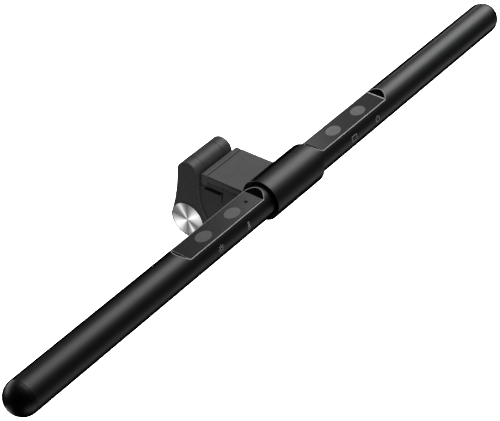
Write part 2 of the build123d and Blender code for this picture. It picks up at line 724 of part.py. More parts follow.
with BuildPart() as arm_shell:
    with BuildSketch(side(-ARM_HALF)):
        with BuildLine():
            add(arm_outline())
        make_face()
    extrude(amount=2 * ARM_HALF)
    edges = arm_shell.faces().filter_by(Axis.X).edges()
    chamfer(edges, length=EDGE)
    # room for the middle knuckle and its web
    room = KNUCKLE_HALF + KNUCKLE_GAP
    with BuildSketch(side(-room)):
        with Locations(hinge_centre):
            Circle(KNUCKLE_R + KNUCKLE_ROOM)
        with Locations((0, WEB_ROOM + HINGE_Y)):
            Rectangle(2 * HINGE_Y, 2 * HINGE_Y)
    extrude(amount=2 * room, mode=Mode.SUBTRACT)
    # pin bore, open on the right under its plug
    with BuildSketch(side(-PIN_END)):
        with Locations(hinge_centre):
            Circle(PIN_R)
    extrude(amount=PIN_END + ARM_HALF, mode=Mode.SUBTRACT)
    with BuildSketch(side(ARM_HALF)):
        with Locations(hinge_centre):
            Circle(PLUG_R)
    extrude(amount=-PLUG_THICK, mode=Mode.SUBTRACT)
    # bore of the counterweight, with a seat for a disc at each end
    with BuildSketch(side(-ARM_HALF)):
        with Locations(drum_centre):
            Circle(SLUG_R)
    extrude(amount=2 * ARM_HALF, mode=Mode.SUBTRACT)
    for hand in HANDS.values():
        with BuildSketch(side(hand * ARM_HALF)):
            with Locations(drum_centre):
                Circle(DISC_R)
        extrude(amount=-hand * DISC_SEAT, mode=Mode.SUBTRACT)
    # counterbored holes of the jaw screws, from behind
    with BuildSketch(jaw_screw_seat):
        with Locations(*jaw_screw_places):
            Circle(SCREW_HEAD_R + 4 * FIT)
    extrude(amount=DRUM_Y, mode=Mode.SUBTRACT)
    with BuildSketch(jaw_screw_seat):
        with Locations(*jaw_screw_places):
            Circle(SCREW_R)
    extrude(amount=-JAW_SCREW_GRIP, mode=Mode.SUBTRACT)
save(arm_shell, "arm_shell")

with BuildPart() as arm_jaw:
    with BuildSketch(side(-JAW_HALF)):
        with BuildLine():
            inner = (12.0, JAW_TOP)
            bend = (JAW_Y, -14.0)
            toe = (5.6, -33.6)
            hollow_r = HOOK_ARC_R + PAD + JAW_GAP
            beak = on_hook(hollow_r, 0.9 * HOOK_PAD_HALF)
            hollow_foot = on_hook(hollow_r, -HOOK_PAD_HALF)
            Polyline(inner, (-4.9, JAW_TOP), beak)
            ThreePointArc(beak, on_hook(hollow_r, 0), hollow_foot)
            Line(hollow_foot, bend)
            ThreePointArc(bend, (-2.6, -24.5), toe)
            Polyline(toe, (14.0, -33.6), inner)
        make_face()
        with BuildLine():
            add(arm_outline())
        make_face(mode=Mode.SUBTRACT)
    extrude(amount=2 * JAW_HALF)
    with BuildSketch(jaw_screw_seat):
        with Locations(*jaw_screw_places):
            Circle(SCREW_R)
    extrude(amount=-JAW_SCREW_GRIP, mode=Mode.SUBTRACT)
save(arm_jaw, "arm_jaw")

with BuildPart() as jaw_pad:
    with BuildSketch(behind(JAW_Y, JAW_PAD_Z)):
        RectangleRounded(2 * (JAW_HALF - PAD_MARGIN), JAW_PAD_H, PAD_ROUND)
    extrude(amount=-PAD)
save(jaw_pad, "jaw_pad")

with BuildPart() as counterweight:
    with BuildSketch(side(-ARM_HALF + DISC_SEAT)):
        with Locations(drum_centre):
            Circle(SLUG_R)
    extrude(amount=2 * (ARM_HALF - DISC_SEAT))
save(counterweight, "counterweight")

for name, hand in HANDS.items():
    with BuildPart() as disc:
        with BuildSketch(side(hand * (ARM_HALF - DISC_SEAT))):
            with Locations(drum_centre):
                Circle(DISC_R)
        extrude(amount=hand * (DISC_SEAT + DISC_PROUD))
        outer_face = disc.faces().sort_by(Axis.X)[-1 if hand > 0 else 0]
        chamfer(outer_face.edges(), length=EDGE)
    save(disc, f"disc_{name}")

with BuildPart() as hinge_pin:
    with BuildSketch(side(-PIN_END)):
        with Locations(hinge_centre):
            Circle(PIN_R)
    extrude(amount=PIN_END + ARM_HALF - PLUG_THICK)
save(hinge_pin, "hinge_pin")

with BuildPart() as hinge_plug:
    with BuildSketch(side(ARM_HALF - PLUG_THICK)):
        with Locations(hinge_centre):
            Circle(PLUG_R)
    extrude(amount=PLUG_THICK)
save(hinge_plug, "hinge_plug")

screws("jaw_screws", jaw_screw_seat, jaw_screw_places, JAW_SCREW_HEAD_H, JAW_SCREW_GRIP)
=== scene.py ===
import json
from math import cos, pi, radians, sin, sqrt

import bmesh
import bpy
from mathutils import Matrix, Vector

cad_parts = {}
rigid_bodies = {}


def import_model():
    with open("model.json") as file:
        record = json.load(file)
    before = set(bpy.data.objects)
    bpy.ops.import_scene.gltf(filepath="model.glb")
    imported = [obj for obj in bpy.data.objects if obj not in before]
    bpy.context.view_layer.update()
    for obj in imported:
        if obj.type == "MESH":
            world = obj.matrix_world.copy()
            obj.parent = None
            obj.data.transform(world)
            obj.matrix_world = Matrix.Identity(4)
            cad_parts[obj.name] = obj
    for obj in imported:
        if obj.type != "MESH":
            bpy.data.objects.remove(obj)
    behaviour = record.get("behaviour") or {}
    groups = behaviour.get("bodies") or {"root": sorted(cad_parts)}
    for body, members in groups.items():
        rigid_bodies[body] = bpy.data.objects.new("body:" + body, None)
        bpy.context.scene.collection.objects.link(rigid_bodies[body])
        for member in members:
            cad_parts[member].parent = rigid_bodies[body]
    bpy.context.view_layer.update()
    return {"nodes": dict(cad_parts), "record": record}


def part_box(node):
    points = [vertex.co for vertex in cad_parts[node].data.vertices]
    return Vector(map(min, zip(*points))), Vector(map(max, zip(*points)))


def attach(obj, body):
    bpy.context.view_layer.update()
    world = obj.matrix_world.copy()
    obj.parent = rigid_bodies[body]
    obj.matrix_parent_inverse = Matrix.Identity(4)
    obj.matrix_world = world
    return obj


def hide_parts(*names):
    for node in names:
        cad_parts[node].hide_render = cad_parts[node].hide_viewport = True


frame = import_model()

MM = 0.001
POLE = 1e-6              # radius of a turned profile's point on the axis
X, Y, Z = Vector((1, 0, 0)), Vector((0, 1, 0)), Vector((0, 0, 1))

# ------------------------------------------------------------------ places from the frame

tube_low, tube_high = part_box("light_tube")
TUBE_R = (tube_high.z - tube_low.z) / 2
TUBE_AXIS = Vector((0, (tube_low.y + tube_high.y) / 2, (tube_low.z + tube_high.z) / 2))
TUBE_END = tube_high.x
CAP_DEPTH = 9.2 * MM     # the dome beyond the tube's end
SPIGOT = 5 * MM          # the cap's reach into the tube
BORE_R = 8.6 * MM        # inside of the tube
PLAY = 0.05 * MM         # between pieces that sit in each other

panel_low, panel_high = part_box("touch_panel_right")
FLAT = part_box("touch_pads_right")[1].z - TUBE_AXIS.z
PANEL_HALF_W = (panel_high.y - panel_low.y) / 2
PANEL_IN, PANEL_OUT = 28.4 * MM, 92.3 * MM    # the flat's ends, from the middle of the bar
PANEL_THICK = 0.8 * MM
RAMP = 4.2 * MM          # length of a recess's sloped end

WINDOW_W = 10.6 * MM
LENS_SUNK = 0.2 * MM     # below the tube's round
AIM = radians(10)        # how far the windows and lenses lean towards the user

COLLAR_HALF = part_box("collar")[1].x
COLLAR_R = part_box("collar")[1].z - TUBE_AXIS.z
COLLAR_BORE_R = 11.3 * MM
LUG_SIZE = Vector((26, 10, 2)) * MM           # the lug that the collar's screws hold
LUG_CENTRE = Vector((0, -24, 4.5)) * MM

disc_low, disc_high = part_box("disc_right")
DISC_R = (disc_high.z - disc_low.z) / 2
DRUM = Vector((0, (disc_high.y + disc_low.y) / 2, (disc_high.z + disc_low.z) / 2))


# ------------------------------------------------------------------ camera

FIT = 0.91167 * MM       # metres in one unit of the camera's own scale
AZIMUTH, ELEVATION = 0.945178, 0.642185
DISTANCE, LENS = 1081.768, 1817.354           # LENS is for a picture of IMAGE_WIDTH
ALONG, RAISED = -26.192, -6.381               # the aim, from the middle of the tube
SHIFT_X, SHIFT_Y = 8.7006, 2.6994
IMAGE_WIDTH = 500


def placed(place, right, up, back):
    """The matrix of a camera or light at a place, with its own three directions."""
    turn = Matrix((right, up, back)).transposed()
    return Matrix.Translation(place) @ turn.to_4x4()


def make_camera():
    """Looks down at the bar from beyond its near left end."""
    back = Vector((-sin(AZIMUTH) * cos(ELEVATION), -cos(AZIMUTH) * cos(ELEVATION), sin(ELEVATION)))
    right = Vector((cos(AZIMUTH), -sin(AZIMUTH), 0))
    up = back.cross(right)
    data = bpy.data.cameras.new("camera")
    camera = bpy.data.objects.new("camera", data)
    bpy.context.scene.collection.objects.link(camera)
    place = TUBE_AXIS + FIT * (ALONG * X + DISTANCE * back + RAISED * up)
    camera.matrix_world = placed(place, right, up, back)
    data.sensor_fit = "HORIZONTAL"
    data.lens = LENS * data.sensor_width / IMAGE_WIDTH
    data.shift_x = -SHIFT_X / IMAGE_WIDTH
    data.shift_y = SHIFT_Y / IMAGE_WIDTH
    data.clip_start = 0.01
    data.clip_end = 20
    bpy.context.scene.camera = camera


# ------------------------------------------------------------------ shader maths

class Value:
    """A shader socket that works in Python arithmetic."""

    def __init__(self, paint, socket):
        self.paint = paint
        self.socket = socket

    def maths(self, operation, *others):
        return self.paint.node("ShaderNodeMath", {"operation": operation}, dict(enumerate(others)))

    def __add__(self, other):
        return self.maths("ADD", self, other)

    def __sub__(self, other):
        return self.maths("SUBTRACT", self, other)

    def __mul__(self, other):
        return self.maths("MULTIPLY", self, other)

    def __truediv__(self, other):
        return self.maths("DIVIDE", self, other)

    def __gt__(self, other):
        return self.maths("GREATER_THAN", self, other)

    def __rsub__(self, other):
        return self.maths("SUBTRACT", other, self)

    __radd__ = __add__
    __rmul__ = __mul__

    def sine(self):
        return self.maths("SINE", self)

    def root(self):
        return self.maths("SQRT", self)


class Paint:
    """One procedural material on a Principled shader."""

    def __init__(self, name, **constants):
        self.name = name
        self.material = bpy.data.materials.new(name)
        self.material.use_nodes = True
        self.tree = self.material.node_tree
        self.tree.nodes.clear()
        self.shader = self.tree.nodes.new("ShaderNodeBsdfPrincipled")
        output = self.tree.nodes.new("ShaderNodeOutputMaterial")
        self.tree.links.new(self.shader.outputs[0], output.inputs[0])
        self.place = self.node("ShaderNodeTexCoord", output="Object")
        self.feed(**constants)

    def node(self, kind, settings=None, inputs=None, output=0):
        made = self.tree.nodes.new(kind)
        for key, value in (settings or {}).items():
            if key == "stops":
                stops = made.color_ramp.elements
                for position, colour in value[1:-1]:
                    stops.new(position)
                stops[0].position, stops[-1].position = value[0][0], value[-1][0]
                for position, colour in value:
                    nearest = min(stops, key=lambda stop: abs(stop.position - position))
                    nearest.color = (*colour, 1)
            else:
                setattr(made, key, value)
        for key, value in (inputs or {}).items():
            self.plug(made.inputs[key], value)
        return Value(self, made.outputs[output])

    def plug(self, socket, value):
        if isinstance(value, Value):
            self.tree.links.new(value.socket, socket)
        else:
            socket.default_value = value

    def feed(self, **sockets):
        """Sets sockets of the Principled shader; base_color stands for Base Color."""
        for key, value in sockets.items():
            name = key.replace("_", " ").title().replace("Ior", "IOR")
            if key == "base_color" and not isinstance(value, Value):
                value = (*value, 1)
            self.plug(self.shader.inputs[name], value)
        return self

    def stretched(self, scale, centre=(0, 0, 0)):
        """Object coordinates with a centre taken off and each axis scaled."""
        moved = self.node(
            "ShaderNodeVectorMath", {"operation": "SUBTRACT"}, {0: self.place, 1: tuple(centre)}
        )
        return self.node("ShaderNodeVectorMath", {"operation": "MULTIPLY"}, {0: moved, 1: scale})

    def split(self, vector):
        """The three parts of a vector."""
        made = self.tree.nodes.new("ShaderNodeSeparateXYZ")
        self.plug(made.inputs[0], vector)
        return [Value(self, socket) for socket in made.outputs]

    def noise(self, scale, detail=3.0, roughness=0.5, where=None):
        return self.node(
            "ShaderNodeTexNoise",
            {"noise_dimensions": "3D"},
            {
                "Vector": where or self.place,
                "Scale": scale,
                "Detail": detail,
                "Roughness": roughness,
            },
        )

    def ramp(self, value, *stops):
        return self.node("ShaderNodeValToRGB", {"stops": stops}, {0: value})

    def blend(self, factor, first, second):
        """Mixes two colours."""
        made = self.tree.nodes.new("ShaderNodeMix")
        made.data_type = "RGBA"
        for index, value in ((0, factor), (6, first), (7, second)):
            if isinstance(value, tuple):
                value = (*value, 1)
            self.plug(made.inputs[index], value)
        return Value(self, made.outputs[2])

    def bump(self, height, distance, strength=1.0, under=None):
        inputs = {"Height": height, "Distance": distance, "Strength": strength}
        if under is not None:
            inputs["Normal"] = under
        return self.node("ShaderNodeBump", None, inputs)


IN_MM = (1000, 1000, 1000)    # stretches Object coordinates from metres to millimetres


def grey(level):
    return (level, level, level)


def speckle(paint, level, spread, scale):
    """A near-black colour with faint cloudy variation."""
    mottle = paint.noise(scale, detail=4.0)
    return paint.ramp(mottle, (0.3, grey(level - spread)), (0.7, grey(level + spread)))


def anodised(name, level, rough):
    """Bead-blasted, black anodised aluminium, a little glossier at a glancing view."""
    paint = Paint(name, metallic=0.0, specular_ior_level=0.62)
    facing = paint.node("ShaderNodeLayerWeight", None, {"Blend": 0.5}, "Facing")
    glance = paint.ramp(facing, (0.48, grey(0.0)), (0.72, grey(1.0)))
    cloud = paint.noise(90, detail=3.0)
    grain = paint.noise(9000, detail=2.0, roughness=0.6)
    paint.feed(
        base_color=speckle(paint, level, level * 0.12, 140),
        roughness=rough - 0.02 + cloud * 0.04 - glance * 0.28,
        normal=paint.bump(grain, 0.004 * MM),
    )
    return paint


def moulded(name, level, rough, texture, depth, specular=0.5):
    """Moulded plastic with a fine eroded texture, its depth in millimetres."""
    paint = Paint(name, specular_ior_level=specular)
    grain = paint.noise(texture, detail=3.0, roughness=0.6)
    cloud = paint.noise(120, detail=3.0)
    paint.feed(
        base_color=speckle(paint, level, level * 0.08, 300),
        roughness=rough - 0.04 + cloud * 0.05 + grain * 0.04,
        normal=paint.bump(grain, depth * MM),
    )
    return paint


def powder_coat(name, level, rough):
    """Fine orange-peel powder coat on a casting."""
    paint = Paint(name, specular_ior_level=0.45)
    peel = paint.noise(2200, detail=2.0)
    cloud = paint.noise(150, detail=2.0)
    paint.feed(
        base_color=speckle(paint, level, level * 0.1, 500),
        roughness=rough - 0.03 + cloud * 0.06,
        normal=paint.bump(peel, 0.012 * MM),
    )
    return paint


def turned_steel(name, level, rough):
    """Steel with fine turning marks round the X axis."""
    paint = Paint(name, metallic=1.0)
    lines = paint.noise(1.0, detail=2.0, where=paint.stretched((2500, 60, 60)))
    paint.feed(
        base_color=speckle(paint, level, level * 0.05, 400),
        roughness=rough - 0.05 + lines * 0.1,
        normal=paint.bump(lines, 0.003 * MM),
    )
    return paint


# painted reflection on the turned face: its brightness by the turn round its centre, in parts of a
# whole turn
PAINTED_FAN_REFLECTION = (
    (0.0, 0.35), (0.05, 0.05), (0.11, 0.12), (0.158, 0.75), (0.2, 0.2), (0.25, 0.04),
    (0.306, 0.25), (0.392, 1.0), (0.472, 0.35), (0.522, 0.05), (0.597, 0.12), (0.658, 0.7),
    (0.7, 0.2), (0.744, 0.04), (0.806, 0.25), (0.892, 0.9), (0.958, 0.5), (1.0, 0.35),
)


def spun(name, centre):
    """Bright face-turned aluminium: a painted reflection of light and shade in sectors round the
    centre, fine rings.
    """
    paint = Paint(name, metallic=1.0)
    y, z = paint.split(paint.stretched(IN_MM, centre))[1:]
    radius = (y * y + z * z + 1e-4).root()
    turn = z.maths("ARCTAN2", z, y) / (2 * pi) + 0.5
    # the reflection is painted into the base colour by angle, so it does not move with the view
    painted_reflection_sectors = paint.ramp(turn, *((place, grey(level)) for place, level in PAINTED_FAN_REFLECTION))
    rings = paint.node("ShaderNodeCombineXYZ", None, {0: radius, 1: 0.0, 2: 0.0})
    fine = paint.noise(5.0, detail=3.0, roughness=0.7, where=rings)
    height = (radius * 30.0).sine() * 0.5 + fine
    greyed = paint.ramp(fine, (0.3, grey(0.0)), (0.7, grey(0.35)))
    paint.feed(
        base_color=paint.blend(greyed, painted_reflection_sectors, grey(0.3)),
        roughness=0.26 + fine * 0.12,
        normal=paint.bump(height, 0.004 * MM),
    )
    return paint


def silicone(name):
    """Matt black rubber with a trace of dust."""
    paint = Paint(name, specular_ior_level=0.35)
    grain = paint.noise(3000, detail=2.0)
    dust = paint.noise(700, detail=4.0, roughness=0.7)
    paint.feed(
        base_color=paint.ramp(dust, (0.45, grey(0.022)), (0.8, grey(0.05))),
        roughness=0.72 + grain * 0.1,
        normal=paint.bump(grain, 0.01 * MM),
    )
    return paint


def milky(name, level):
    """White or frosted plastic, a little cloudy."""
    paint = Paint(name, specular_ior_level=0.4)
    haze = paint.noise(60, detail=3.0)
    frost = paint.noise(5000, detail=2.0)
    paint.feed(
        base_color=paint.ramp(haze, (0.3, (level, level, level * 0.985)), (0.7, (level * 0.97,) * 3)),
        roughness=0.38 + frost * 0.12,
        normal=paint.bump(frost, 0.004 * MM),
    )
    return paint


def circuit_board(name, colour):
    """Solder mask with tracks and a woven glass grain."""
    paint = Paint(name)
    x, y = paint.split(paint.stretched(IN_MM))[:2]
    tracks = ((x * 2.1).sine() * (y * 3.3).sine()) > 0.55
    weave = (x * 9.0).sine() * (y * 9.0).sine()
    lighter = tuple(min(1.0, part * 1.35) for part in colour)
    paint.feed(
        base_color=paint.blend(tracks, colour, lighter),
        roughness=0.42 - tracks * 0.1 + weave * 0.02,
        normal=paint.bump(tracks * 0.5 + weave * 0.2, 0.02 * MM),
    )
    return paint


def bright_metal(name, colour, rough):
    """Drawn sheet metal with fine scratches along X."""
    paint = Paint(name, metallic=1.0)
    scratches = paint.noise(1.0, detail=3.0, where=paint.stretched((40, 3000, 3000)))
    darker = tuple(part * 0.85 for part in colour)
    paint.feed(
        base_color=paint.ramp(scratches, (0.3, darker), (0.7, colour)),
        roughness=rough + scratches * 0.1,
        normal=paint.bump(scratches, 0.002 * MM),
    )
    return paint


def make_paints():
    """One material for each finish of the object."""
    made = [
        anodised("tube_black", level=0.003, rough=0.45),
        anodised("collar_black", level=0.003, rough=0.45),
        # the collar's rounded edges: lighter than the collar, a painted highlight
        anodised("collar_edge_painted_highlight", level=0.03, rough=0.34),
        anodised("cap_black", level=0.004, rough=0.40),
        # recess rims and panel sills: a pale colour, a painted highlight
        anodised("rim_painted_highlight", level=0.55, rough=0.35),
        moulded("panel_black", level=0.006, rough=0.44, texture=6000, depth=0.006, specular=0.24),
        # recess ends, panel ends, the collar's end faces and bore: near-black and unreflecting,
        # painted shade
        moulded("painted_shade_black", level=0.002, rough=0.9, texture=3000, depth=0.005, specular=0.05),
        moulded("pad_grey", level=0.098, rough=0.55, texture=6000, depth=0.006, specular=0.4),
        moulded("print_grey", level=0.75, rough=0.55, texture=5000, depth=0.004, specular=0.3),
        moulded("sensor_smoke", level=0.003, rough=0.5, texture=2000, depth=0.001, specular=0.1),
        moulded("inlet_black", level=0.02, rough=0.4, texture=4000, depth=0.004),
        moulded("bush_black", level=0.006, rough=0.55, texture=3000, depth=0.005, specular=0.3),
        moulded("cover_black", level=0.10, rough=0.50, texture=5000, depth=0.006, specular=0.4),
        powder_coat("cast_black", level=0.055, rough=0.5),
        milky("lens_white", level=0.86),
        milky("reflector_white", level=0.92),
        milky("led_phosphor", level=0.7),
        circuit_board("board_green", colour=(0.02, 0.13, 0.05)),
        circuit_board("board_white", colour=(0.74, 0.75, 0.73)),
        bright_metal("copper", colour=(0.80, 0.47, 0.28), rough=0.25),
        bright_metal("inlet_steel", colour=(0.72, 0.73, 0.74), rough=0.2),
        turned_steel("steel", level=0.55, rough=0.3),
        turned_steel("screw_steel", level=0.22, rough=0.35),
        turned_steel("spring_steel", level=0.5, rough=0.25),
        spun("spun_aluminium", centre=DRUM),
        silicone("silicone_black"),
    ]
    return {paint.name: paint.material for paint in made}


def coat(made, *names):
    """Gives a piece its materials, in the order of its faces' material numbers."""
    for name in names:
        made.data.materials.append(PAINTS[name])


# ------------------------------------------------------------------ mesh helpers

def finish_mesh(name, bm, sharp=30):
    """A smooth-shaded object with its sharp edges marked, at the origin."""
    bmesh.ops.recalc_face_normals(bm, faces=bm.faces)
    mesh = bpy.data.meshes.new(name)
    bm.to_mesh(mesh)
    bm.free()
    mesh.shade_smooth()
    mesh.set_sharp_from_angle(angle=radians(sharp))
    made = bpy.data.objects.new(name, mesh)
    bpy.context.scene.collection.objects.link(made)
    return made


def dress(made, body, slot, *node_names, paint=None):
    """Gives a piece its finish and its body, and hides the CAD nodes that it stands for."""
    if not made.data.materials:
        coat(made, paint or slot)
    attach(made, body)
    if node_names:
        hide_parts(*node_names)
    return made


def cut(target, *cutters):
    """Takes the cutters' shapes out of the target and removes them."""
    for cutter in cutters:
        modifier = target.modifiers.new("cut", "BOOLEAN")
        modifier.operation = "DIFFERENCE"
        modifier.solver = "EXACT"
        modifier.use_self = True
        modifier.material_mode = "TRANSFER"
        modifier.object = cutter
    graph = bpy.context.evaluated_depsgraph_get()
    mesh = bpy.data.meshes.new_from_object(target.evaluated_get(graph))
    target.modifiers.clear()
    mesh.set_sharp_from_angle(angle=radians(15))
    target.data = mesh
    for cutter in cutters:
        bpy.data.objects.remove(cutter)


def block(low, high):
    """A box between two corners, for cutting."""
    bm = bmesh.new()
    size = Vector(high) - Vector(low)
    centre = (Vector(high) + Vector(low)) / 2
    matrix = Matrix.Translation(centre) @ Matrix.Diagonal((*size, 1))
    bmesh.ops.create_cube(bm, size=1, matrix=matrix)
    return bm


def push(bm, face, distance):
    """Pushes a face by a vector into a closed prism, and returns the vertices that moved."""
    pushed = bmesh.ops.extrude_face_region(bm, geom=[face])
    moved = [item for item in pushed["geom"] if isinstance(item, bmesh.types.BMVert)]
    bmesh.ops.translate(bm, verts=moved, vec=distance)
    return moved


def prism(points, distance):
    """A closed prism: the points' polygon pushed by a vector."""
    bm = bmesh.new()
    face = bm.faces.new([bm.verts.new(point) for point in points])
    push(bm, face, distance)
    bmesh.ops.recalc_face_normals(bm, faces=bm.faces)
    return bm


def turned(profile, steps, centre, closed=True):
    """Spins (x, radius) points round the X axis through the centre."""
    bm = bmesh.new()
    verts = [bm.verts.new((x, centre.y, centre.z + radius)) for x, radius in profile]
    edges = [bm.edges.new(pair) for pair in zip(verts, verts[1:])]
    if closed:
        edges.append(bm.edges.new((verts[-1], verts[0])))
    bmesh.ops.spin(
        bm, geom=verts + edges, cent=centre, axis=X, angle=2 * pi, steps=steps, use_merge=True
    )
    bmesh.ops.remove_doubles(bm, verts=bm.verts, dist=1e-7)
    return bm


# ------------------------------------------------------------------ lamp bar

def slope_at(x_edge, outward, height):
    """Distance along the bar of a recess's sloped end at a height above the tube axis."""
    return x_edge + outward * RAMP * (height - FLAT) / (TUBE_R - FLAT)


def recess_cutter(hand):
    """The flat recess of one touch panel; its sloped ends take a near-black, unreflecting finish,
    painted shade.
    """
    over = TUBE_R + MM
    outline = [
        (slope_at(PANEL_IN, -1, over), over),
        (PANEL_IN, FLAT),
        (PANEL_OUT, FLAT),
        (slope_at(PANEL_OUT, 1, over), over),
    ]
    points = [(hand * x, TUBE_AXIS.y - 2 * TUBE_R, TUBE_AXIS.z + z) for x, z in outline]
    bm = prism(points, 4 * TUBE_R * Y)
    # the flat keeps the panel finish, the sloped ends get the near-black painted shade
    for face in bm.faces:
        face.material_index = 0 if abs(face.normal.z) > 0.99 else 1
    cutter = finish_mesh("recess", bm)
    coat(cutter, "panel_black", "painted_shade_black")
    return cutter


def rim_cutter(hand):
    """A three-sided strip along the rim of a recess, which leaves a chamfer in a pale colour, a
    painted highlight.
    """
    reach = sqrt(TUBE_R**2 - FLAT**2)
    steps = 24
    loop = []
    for edge_x, outward in ((PANEL_OUT, 1), (PANEL_IN, -1)):
        slope = Vector((-outward * (TUBE_R - FLAT), 0, RAMP)).normalized()
        for step in range(steps + 1):
            y = outward * reach * (2 * step / steps - 1)
            z = sqrt(TUBE_R**2 - y * y)
            corner = step in (0, steps)
            ground = (slope + Z).normalized() if corner else slope
            loop.append((Vector((slope_at(edge_x, outward, z), y, z)), ground))
    width, over = 0.21 * MM, 0.5 * MM
    bm = bmesh.new()
    rings = []
    for index, (point, ground) in enumerate(loop):
        before = (point - loop[index - 1][0]).normalized()
        after = (loop[(index + 1) % len(loop)][0] - point).normalized()
        along = (before + after).normalized()
        skin = Vector((0, point.y, point.z)).normalized()
        stretch = 1 / max(along.dot(before), 0.5)
        down_skin = along.cross(skin) * width * stretch
        down_recess = -along.cross(ground) * width * stretch
        lift = (skin + ground).normalized() * over
        ring = []
        for offset in (down_skin, down_recess, lift):
            place = point + offset
            ring.append(bm.verts.new((hand * place.x, place.y, place.z)))
        rings.append([bm.edges.new(pair) for pair in zip(ring, ring[1:] + ring[:1])])
    for index, ring in enumerate(rings):
        bmesh.ops.bridge_loops(bm, edges=ring + rings[(index + 1) % len(rings)])
    bmesh.ops.recalc_face_normals(bm, faces=bm.faces)
    bmesh.ops.translate(bm, verts=bm.verts, vec=TUBE_AXIS)
    cutter = finish_mesh("rim", bm)
    coat(cutter, "rim_painted_highlight")
    return cutter


def seat_cutter(hand):
    """The seat of one panel plate, a little below the flat."""
    ends = sorted((hand * PANEL_IN, hand * PANEL_OUT))
    low = (ends[0], TUBE_AXIS.y - PANEL_HALF_W, TUBE_AXIS.z + FLAT - PANEL_THICK)
    high = (ends[1], TUBE_AXIS.y + PANEL_HALF_W, TUBE_AXIS.z + TUBE_R + MM)
    return finish_mesh("seat", block(low, high))


def window_cutter(name):
    """The light window of one lens in the underside, leaning towards the user."""
    low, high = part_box(f"diffuser_{name}")
    bm = block((low.x, -WINDOW_W / 2, -TUBE_R - MM), (high.x, WINDOW_W / 2, -TUBE_R / 2))
    bmesh.ops.rotate(bm, verts=bm.verts, cent=(0, 0, 0), matrix=Matrix.Rotation(-AIM, 3, "X"))
    bmesh.ops.translate(bm, verts=bm.verts, vec=TUBE_AXIS)
    return finish_mesh("window", bm)


def inlet_cutter():
    """The rounded hole in the back wall round the socket."""
    low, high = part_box("usb_socket")
    play = 0.15 * MM
    bm = block(
        (low.x - play, TUBE_AXIS.y + TUBE_R / 2, low.z - play),
        (high.x + play, TUBE_AXIS.y + TUBE_R + MM, high.z + play),
    )
    corners = [edge for edge in bm.edges if abs((edge.verts[0].co - edge.verts[1].co).y) > MM]
    bmesh.ops.bevel(
        bm, geom=corners, offset=1.6 * MM, segments=8, profile=0.5, affect="EDGES", material=-1
    )
    return finish_mesh("inlet", bm)


def make_tube():
    """The anodised tube with its recesses, windows and inlet; its cut rims take a pale colour, a
    painted highlight.
    """
    ends = (-TUBE_END, TUBE_END)
    chamfer = 0.1 * MM
    profile = [
        (ends[0], BORE_R),
        (ends[0], TUBE_R - chamfer),
        (ends[0] + chamfer, TUBE_R),
        (ends[1] - chamfer, TUBE_R),
        (ends[1], TUBE_R - chamfer),
        (ends[1], BORE_R),
    ]
    tube = finish_mesh("tube_body", turned(profile, 192, TUBE_AXIS), sharp=28)
    coat(tube, "tube_black")
    cut(tube, recess_cutter(-1), recess_cutter(1))
    cut(tube, rim_cutter(-1))
    cut(tube, rim_cutter(1))
    windows = [window_cutter("left"), window_cutter("right")]
    cut(tube, inlet_cutter(), seat_cutter(-1), seat_cutter(1), *windows)
    dress(tube, "lamp", "tube_black", "light_tube")


def make_panel(name, hand):
    """The touch panel with its sloped ends in near-black painted shade and a sill at its outer end in
    a pale colour, a painted highlight.
    """
    bm = merged(f"touch_panel_{name}", whole=False)
    # tilted faces at the panel's ends get the near-black painted shade
    for face in bm.faces:
        tilted = 0.3 < face.normal.z < 0.97
        face.material_index = 1 if tilted else 0
    # the sill at the outer end takes the pale painted highlight
    inner = PANEL_OUT - PLAY
    outer = inner + 0.5 * MM
    points = [
        (hand * inner, -PANEL_HALF_W, FLAT),
        (hand * outer, -PANEL_HALF_W, FLAT + 0.32 * MM),
        (hand * outer, -PANEL_HALF_W, FLAT - 0.1 * MM),
    ]
    sill = [bm.verts.new(Vector(point) + TUBE_AXIS) for point in points]
    face = bm.faces.new(sill)
    face.material_index = 2
    moved = push(bm, face, 2 * PANEL_HALF_W * Y)
    for side in [item for vert in moved for item in vert.link_faces]:
        side.material_index = 2
    panel = finish_mesh(f"panel_{name}", bm, sharp=5)
    coat(panel, "panel_black", "painted_shade_black", "rim_painted_highlight")
    dress(panel, "lamp", "panel_black", f"touch_panel_{name}")


def make_cap(name, hand):
    """A domed end cap: dome, seam groove and spigot."""
    seam = TUBE_END
    centre = TUBE_END + CAP_DEPTH - TUBE_R
    groove = 0.15 * MM
    groove_r = sqrt(TUBE_R**2 - (seam - centre) ** 2) - 1.6 * groove
    profile = [
        (seam - SPIGOT, BORE_R - PLAY),
        (seam, BORE_R - PLAY),
        (seam, groove_r),
        (seam + groove, groove_r),
    ]
    start = (seam + groove - centre) / TUBE_R
    steps = 28
    for step in range(steps + 1):
        turn = start + (pi / 2 - start) * step / steps
        profile.append((centre + TUBE_R * sin(turn), max(TUBE_R * cos(turn), POLE)))
    bm = turned([(hand * x, radius) for x, radius in profile], 128, TUBE_AXIS, closed=False)
    holes = [edge for edge in bm.edges if edge.is_boundary]
    bmesh.ops.holes_fill(bm, edges=holes, sides=0)
    cap = finish_mesh(f"cap_{name}", bm, sharp=35)
    dress(cap, "lamp", "cap_black", f"end_cap_{name}")


